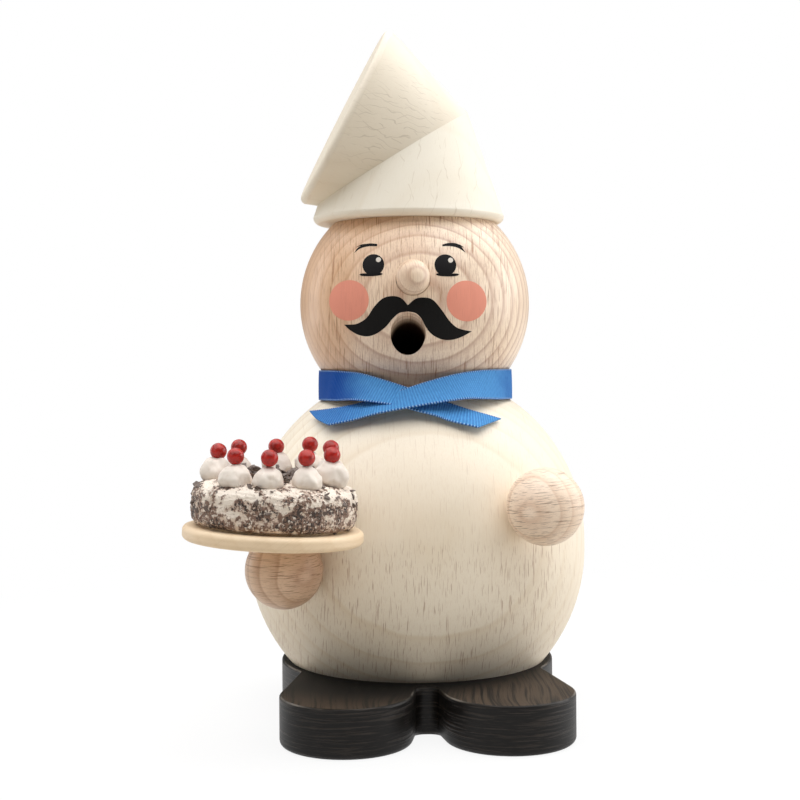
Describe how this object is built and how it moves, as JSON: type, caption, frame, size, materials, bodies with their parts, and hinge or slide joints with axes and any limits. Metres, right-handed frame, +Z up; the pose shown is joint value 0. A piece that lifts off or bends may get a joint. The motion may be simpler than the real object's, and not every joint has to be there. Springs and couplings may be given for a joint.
{
  "type": "incense smoker",
  "caption": "Turned wooden incense smoker: a ball-shaped pastry cook with moustache, folded cap, ribbon and cake, lifting off a shoe-shaped base that holds the cone dish.",
  "frame": {"origin": "middle of the shoe plate's underside, on the axis of the body ball", "axes": "+Z up; the cook's face and toes point to -Y; the cake is on the -X side"},
  "size_m": [0.0756, 0.0943, 0.1368],
  "materials": {
    "black_wood": "black stain over open grain, worn on the edges",
    "plain_wood": "raw beech",
    "body_wood": "bleached beech, matt",
    "head_wood": "natural beech, satin, painted face",
    "hand_wood": "natural beech, satin",
    "cap_wood": "white bleached maple, matt",
    "plate_wood": "light maple, satin",
    "brass": "pressed sheet",
    "steel": "plain",
    "ribbon": "blue satin",
    "cake_coat": "rough cream and chocolate paste",
    "cream": "white modelling paste",
    "berry": "red lacquer",
    "chocolate": "dark brown crumbs"
  },
  "bodies": {
    "base": {"shoe_plate": "black_wood", "locating_plug": "plain_wood", "plug_dowel": "plain_wood", "incense_dish": "brass", "dish_tack": "steel"},
    "figure": {"body_ball": "body_wood", "neck_dowels": "plain_wood", "head_ball": "head_wood", "nose_peg": "head_wood", "cap_lower": "cap_wood", "cap_upper": "cap_wood", "cap_dowel": "plain_wood", "cap_joint_dowel": "plain_wood", "neck_ribbon": "ribbon", "plate_hand": "hand_wood", "free_hand": "hand_wood", "plate_hand_dowel": "plain_wood", "free_hand_dowel": "plain_wood", "serving_plate": "plate_wood", "serving_pin": "plain_wood", "cake_core": "plain_wood", "cake_coat": "cake_coat", "cream_rosettes": "cream", "berries": "berry", "chocolate_crumbs": "chocolate"}
  },
  "joints": [
    {"name": "figure_lift", "type": "slide", "parent": "base", "child": "figure", "axis": [0, 0, 1], "range_m": [0, 0.06]}
  ]
}
